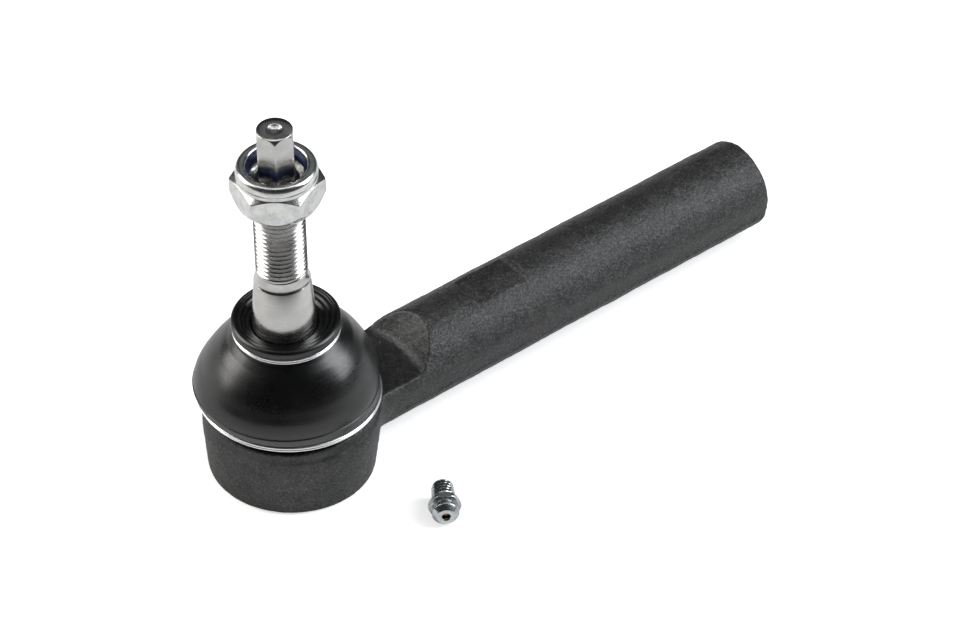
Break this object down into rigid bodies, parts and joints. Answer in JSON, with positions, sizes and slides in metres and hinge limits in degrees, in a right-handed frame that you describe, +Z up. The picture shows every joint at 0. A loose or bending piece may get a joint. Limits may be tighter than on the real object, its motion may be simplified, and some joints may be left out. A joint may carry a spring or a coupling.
{
  "type": "tie rod end",
  "caption": "Outer steering tie rod end: forged arm with a threaded socket, sealed ball joint, rubber boot, tapered stud with a nylon lock nut, and a loose grease fitting.",
  "frame": {"origin": "middle of the whole part's bounding box, on the plane that the cup and the loose grease fitting stand on", "axes": "+X along the arm from the ball joint to its threaded end, +Z up along the cup's axis towards the stud's tip, +Y across the arm, away from the loose grease fitting"},
  "size_m": [0.1632, 0.0648, 0.1011],
  "materials": {
    "forged_black": "matte charcoal coat over a forged skin",
    "bearing_polymer": "natural moulded polymer",
    "spring_steel": "oiled spring steel",
    "cover_steel": "zinc plated pressed steel",
    "stud_steel": "ground and rolled steel with a thin oil film",
    "boot_rubber": "satin black rubber",
    "ring_wire": "bright zinc plated wire",
    "nut_zinc": "bright zinc plate",
    "blue_nylon": "dark blue nylon",
    "fitting_zinc": "bright zinc plate",
    "check_ball_steel": "oiled steel ball"
  },
  "bodies": {
    "housing": {"housing": "forged_black", "upper_bearing_seat": "bearing_polymer", "preload_spring": "spring_steel", "cover_plate": "cover_steel", "lower_boot_ring": "ring_wire"},
    "swivel": {"lower_bearing_seat": "bearing_polymer", "dust_boot": "boot_rubber"},
    "collar": {"upper_boot_ring": "ring_wire"},
    "stud": {"ball_stud": "stud_steel"},
    "nut_slide": {"nylon_insert": "blue_nylon"},
    "nut": {"lock_nut": "nut_zinc"},
    "fitting": {"grease_fitting_body": "fitting_zinc", "fitting_spring": "spring_steel"},
    "check_ball": {"fitting_check_ball": "check_ball_steel"}
  },
  "joints": [
    {"name": "stud_swing", "type": "hinge", "parent": "housing", "child": "swivel", "pos_m": [-0.05978, 0.01067, 0.0145], "axis": [0, 0, 1], "continuous": true},
    {"name": "stud_tilt", "type": "hinge", "parent": "swivel", "child": "collar", "pos_m": [-0.05978, 0.01067, 0.0145], "axis": [0.184, -0.9829, 0], "range_deg": [-24.7, 19.2], "deforming": ["dust_boot"]},
    {"name": "stud_spin", "type": "hinge", "parent": "collar", "child": "stud", "pos_m": [-0.05978, 0.01067, 0.0145], "axis": [-0.0466, -0.0087, 0.9989], "continuous": true},
    {"name": "nut_travel", "type": "slide", "parent": "stud", "child": "nut_slide", "axis": [-0.0466, -0.0087, 0.9989], "range_m": [-0.01875, 0.005]},
    {"name": "nut_turn", "type": "hinge", "parent": "nut_slide", "child": "nut", "pos_m": [-0.05978, 0.01067, 0.0145], "axis": [-0.0466, -0.0087, 0.9989], "range_deg": [-5400, 1440]},
    {"name": "fitting_lift", "type": "slide", "parent": "housing", "child": "fitting", "axis": [0, 0, 1], "range_m": [0, 0.03]},
    {"name": "check_ball_press", "type": "slide", "parent": "fitting", "child": "check_ball", "axis": [0.5635, 0.8261, 0], "range_m": [0, 0.0006], "stiffness_N_per_m": 150, "springref_m": -0.001, "deforming": ["fitting_spring"]}
  ],
  "couplings": [
    {"joint": "nut_travel", "follows": "nut_turn", "m_per_rad": 0.00019894}
  ]
}
